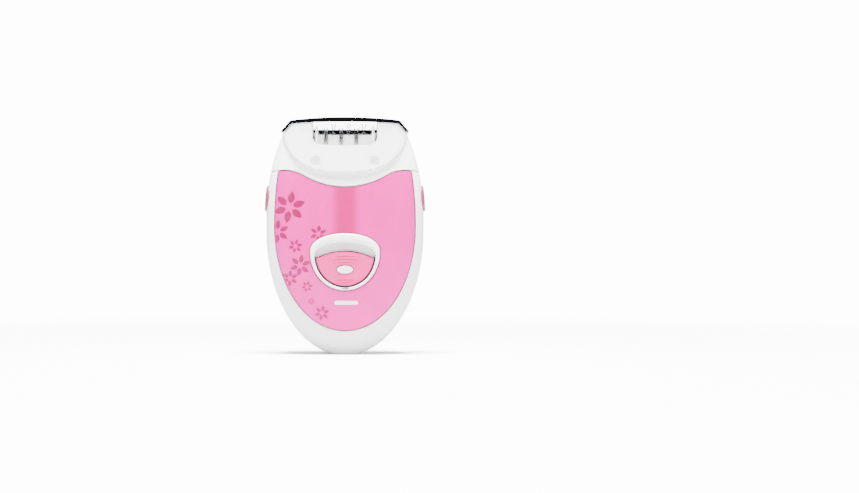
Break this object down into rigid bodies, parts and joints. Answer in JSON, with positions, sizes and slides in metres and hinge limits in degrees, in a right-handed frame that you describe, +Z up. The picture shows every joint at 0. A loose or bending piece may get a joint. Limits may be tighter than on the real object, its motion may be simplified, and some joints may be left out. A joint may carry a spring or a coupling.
{
  "type": "epilator",
  "caption": "Palm-sized rechargeable epilator: oval handle with front panel, thumb slider and side release buttons, lift-off head with rotating tweezer drum, clear cap.",
  "frame": {"origin": "centre of the small flat base that the handle stands on", "axes": "+Z up along the handle to the tweezer head; front panel faces -Y; +X to the right seen from the front; drum axis along X"},
  "size_m": [0.077, 0.0386, 0.113],
  "materials": {
    "white_shell": "glossy injection-moulded ABS",
    "pink_panel": "glossy tinted cover plate with printed flowers",
    "slider_pink": "satin ribbed slider",
    "well_white": "matt off-white",
    "inlay_white": "glossy oval inlay",
    "rose_button": "satin rose",
    "clear_plastic": null,
    "lens_grey": "smoked light pipe",
    "dark_frame": "black glass-filled nylon",
    "natural_nylon": "natural acetal gear",
    "drum_white": "white acetal barrel",
    "sheet_steel": "stamped stainless sheet",
    "ground_steel": "ground steel",
    "motor_steel": "drawn steel can",
    "armature_copper": "wound laminations",
    "spring_steel": "spring wire or leaf",
    "screw_steel": "zinc-plated steel",
    "bronze": "sintered bronze bush",
    "brass_tag": "brass contact",
    "cell_wrap": null,
    "board_green": "glass-fibre circuit board",
    "component_black": "moulded electronic parts",
    "lead_red": "insulated lead"
  },
  "bodies": {
    "handle": {"front_shell": "white_shell", "rear_shell": "white_shell", "front_panel": "pink_panel", "switch_bezel": "white_shell", "switch_floor": "well_white", "indicator_lens": "lens_grey", "slide_switch": "component_black", "circuit_board": "board_green", "circuit_components": "component_black", "power_jack": "dark_frame", "neck_frame": "well_white", "gear_frame": "ground_steel", "motor_can": "motor_steel", "motor_end_bell": "dark_frame", "motor_terminals": "brass_tag", "motor_leads": "lead_red", "gear_axles": "ground_steel", "battery_tray": "dark_frame", "lower_battery_cell": "cell_wrap", "upper_battery_cell": "cell_wrap", "battery_contacts": "sheet_steel", "case_screws": "screw_steel", "frame_screws": "screw_steel", "motor_screws": "screw_steel"},
    "slider": {"switch_button": "slider_pink", "switch_window": "inlay_white", "switch_carriage": "dark_frame"},
    "left_button": {"left_release_button": "rose_button", "left_latch_arm": "spring_steel", "left_button_spring": "spring_steel"},
    "right_button": {"right_release_button": "rose_button", "right_latch_arm": "spring_steel", "right_button_spring": "spring_steel"},
    "motor_rotor": {"motor_shaft": "ground_steel", "motor_armature": "armature_copper", "motor_pinion": "brass_tag"},
    "middle_wheel": {"compound_gear": "natural_nylon"},
    "output_wheel": {"output_gear": "natural_nylon"},
    "head": {"head_front_shell": "white_shell", "head_rear_shell": "white_shell", "head_screws": "screw_steel", "head_frame": "dark_frame", "drum_shield": "dark_frame", "bearing_bushes": "bronze", "roller_pins": "ground_steel"},
    "left_roller": {"left_cam_roller": "ground_steel"},
    "right_roller": {"right_cam_roller": "ground_steel"},
    "drum": {"drum_shaft": "ground_steel", "drum_gear": "natural_nylon", "drum_barrels": "drum_white", "drum_end_discs": "drum_white", "tweezer_stars": "sheet_steel", "rod_springs": "spring_steel"},
    "cap": {"clear_cap": "clear_plastic"},
    "comb_1": {"tweezer_comb_1": "sheet_steel"},
    "comb_2": {"tweezer_comb_2": "sheet_steel"},
    "comb_3": {"tweezer_comb_3": "sheet_steel"},
    "comb_4": {"tweezer_comb_4": "sheet_steel"},
    "comb_5": {"tweezer_comb_5": "sheet_steel"},
    "comb_6": {"tweezer_comb_6": "sheet_steel"}
  },
  "joints": [
    {"name": "head_lift", "type": "slide", "parent": "handle", "child": "head", "axis": [0, 0, 1], "range_m": [0, 0.022], "deforming": ["left_latch_arm", "right_latch_arm"]},
    {"name": "cap_lift", "type": "slide", "parent": "head", "child": "cap", "axis": [0, 0, 1], "range_m": [0, 0.03]},
    {"name": "switch_slide", "type": "slide", "parent": "handle", "child": "slider", "axis": [0, 0, 1], "range_m": [0, 0.0025]},
    {"name": "left_button_press", "type": "slide", "parent": "handle", "child": "left_button", "axis": [1, 0, 0], "range_m": [0, 0.0015], "stiffness_N_per_m": 500, "springref_m": -0.0005, "deforming": ["left_button_spring"]},
    {"name": "right_button_press", "type": "slide", "parent": "handle", "child": "right_button", "axis": [-1, 0, 0], "range_m": [0, 0.0015], "stiffness_N_per_m": 500, "springref_m": -0.0005, "deforming": ["right_button_spring"]},
    {"name": "drum_spin", "type": "hinge", "parent": "head", "child": "drum", "pos_m": [0, 0, 0.0996], "axis": [1, 0, 0], "continuous": true},
    {"name": "output_gear_spin", "type": "hinge", "parent": "handle", "child": "output_wheel", "pos_m": [0, 0, 0.087], "axis": [1, 0, 0], "continuous": true},
    {"name": "middle_wheel_spin", "type": "hinge", "parent": "handle", "child": "middle_wheel", "pos_m": [0, 0.00138, 0.07871], "axis": [1, 0, 0], "continuous": true},
    {"name": "motor_spin", "type": "hinge", "parent": "handle", "child": "motor_rotor", "pos_m": [0, 0, 0.0678], "axis": [1, 0, 0], "continuous": true},
    {"name": "comb_1_slide", "type": "slide", "parent": "drum", "child": "comb_1", "axis": [-1, 0, 0], "range_m": [0, 0.0005], "stiffness_N_per_m": 400, "springref_m": -0.0003, "deforming": ["rod_springs"]},
    {"name": "comb_2_slide", "type": "slide", "parent": "drum", "child": "comb_2", "axis": [1, 0, 0], "range_m": [0, 0.0005], "stiffness_N_per_m": 400, "springref_m": -0.0003, "deforming": ["rod_springs"]},
    {"name": "comb_3_slide", "type": "slide", "parent": "drum", "child": "comb_3", "axis": [-1, 0, 0], "range_m": [0, 0.0005], "stiffness_N_per_m": 400, "springref_m": -0.0003, "deforming": ["rod_springs"]},
    {"name": "comb_4_slide", "type": "slide", "parent": "drum", "child": "comb_4", "axis": [1, 0, 0], "range_m": [0, 0.0005], "stiffness_N_per_m": 400, "springref_m": -0.0003, "deforming": ["rod_springs"]},
    {"name": "comb_5_slide", "type": "slide", "parent": "drum", "child": "comb_5", "axis": [-1, 0, 0], "range_m": [0, 0.0005], "stiffness_N_per_m": 400, "springref_m": -0.0003, "deforming": ["rod_springs"]},
    {"name": "comb_6_slide", "type": "slide", "parent": "drum", "child": "comb_6", "axis": [1, 0, 0], "range_m": [0, 0.0005], "stiffness_N_per_m": 400, "springref_m": -0.0003, "deforming": ["rod_springs"]},
    {"name": "left_roller_spin", "type": "hinge", "parent": "head", "child": "left_roller", "pos_m": [-0.01615, 0, 0.1033], "axis": [0, 0, 1], "continuous": true},
    {"name": "right_roller_spin", "type": "hinge", "parent": "head", "child": "right_roller", "pos_m": [0.01615, 0, 0.1033], "axis": [0, 0, 1], "continuous": true}
  ],
  "couplings": [
    {"joint": "middle_wheel_spin", "follows": "motor_spin", "ratio": -0.375},
    {"joint": "output_gear_spin", "follows": "motor_spin", "ratio": 0.28125},
    {"joint": "drum_spin", "follows": "motor_spin", "ratio": -0.17308}
  ]
}
